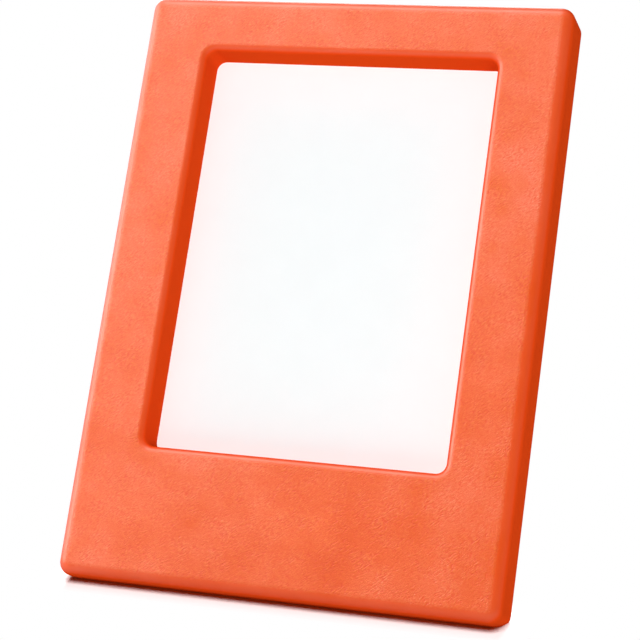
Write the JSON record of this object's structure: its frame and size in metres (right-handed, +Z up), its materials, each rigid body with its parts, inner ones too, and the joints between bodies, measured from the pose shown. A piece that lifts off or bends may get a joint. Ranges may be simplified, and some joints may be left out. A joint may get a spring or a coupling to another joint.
{
  "type": "magnetic photo frame",
  "caption": "Leaning table-top photo frame for a small instant print: a rounded moulded front that magnets hold on a back cover with a fold-out leg.",
  "frame": {"origin": "middle of the narrow flat on which the frame's lower rear edge stands on the table", "axes": "+X across the frame to the viewer's right, +Y to the back, +Z up; the front faces -Y and leans back"},
  "size_m": [0.067, 0.0469, 0.0827],
  "materials": {
    "orange_plastic": "fine moulded grain, satin on the rounded edges",
    "print_card": "smooth blank white print",
    "magnet_nickel": "nickel plate",
    "pin_steel": "drawn wire"
  },
  "bodies": {
    "back": {"back_cover": "orange_plastic", "hinge_pin": "pin_steel", "photo_print": "print_card", "cover_magnet_lower_left": "magnet_nickel", "cover_magnet_lower_right": "magnet_nickel", "cover_magnet_upper_left": "magnet_nickel", "cover_magnet_upper_right": "magnet_nickel"},
    "front": {"front_frame": "orange_plastic", "frame_magnet_lower_left": "magnet_nickel", "frame_magnet_lower_right": "magnet_nickel", "frame_magnet_upper_left": "magnet_nickel", "frame_magnet_upper_right": "magnet_nickel"},
    "stand": {"leg": "orange_plastic"}
  },
  "joints": [
    {"name": "frame_release", "type": "slide", "parent": "back", "child": "front", "axis": [0, -0.8949, 0.4462], "range_m": [0, 0.02]},
    {"name": "leg_fold", "type": "hinge", "parent": "back", "child": "stand", "pos_m": [0, 0.03177, 0.0595], "axis": [1, 0, 0], "range_deg": [-35, 0]}
  ]
}
